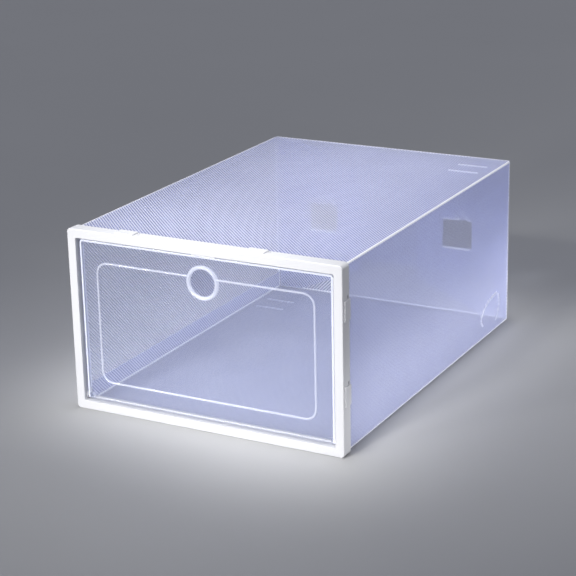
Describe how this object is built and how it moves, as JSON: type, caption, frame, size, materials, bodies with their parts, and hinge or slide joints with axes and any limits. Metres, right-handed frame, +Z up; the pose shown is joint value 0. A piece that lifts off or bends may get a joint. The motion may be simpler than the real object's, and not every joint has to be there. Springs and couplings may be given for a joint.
{
  "type": "shoe box",
  "caption": "Fold-flat translucent shoe box with a clear drop-down front door, a moulded front frame and a rear closed by locked flaps.",
  "frame": {"origin": "bottom centre of the box, on the surface that the front frame stands on", "axes": "+X to the right seen from the front, +Y to the rear, +Z up; the door faces -Y"},
  "size_m": [0.2318, 0.326, 0.1454],
  "materials": {
    "frame_plastic": "white, smooth moulded gloss",
    "clear_door": "clear, polished",
    "translucent_sheet": "frosted translucent sheet with fine diagonal ribs"
  },
  "bodies": {
    "box": {"front_frame": "frame_plastic", "top_panel": "translucent_sheet", "bottom_panel": "translucent_sheet", "left_panel": "translucent_sheet", "right_panel": "translucent_sheet", "seam_flap": "translucent_sheet", "rear_upper_flap": "translucent_sheet", "rear_lower_flap": "translucent_sheet", "dust_flap_right": "translucent_sheet", "dust_flap_left": "translucent_sheet", "lock_tab_left_upper": "translucent_sheet", "lock_tab_left_lower": "translucent_sheet", "lock_tab_right_upper": "translucent_sheet", "lock_tab_right_lower": "translucent_sheet"},
    "door": {"door_panel": "clear_door"}
  },
  "joints": [
    {"name": "door_hinge", "type": "hinge", "parent": "box", "child": "door", "pos_m": [0, -0.1575, 0.0102], "axis": [1, 0, 0], "range_deg": [0, 90]}
  ]
}
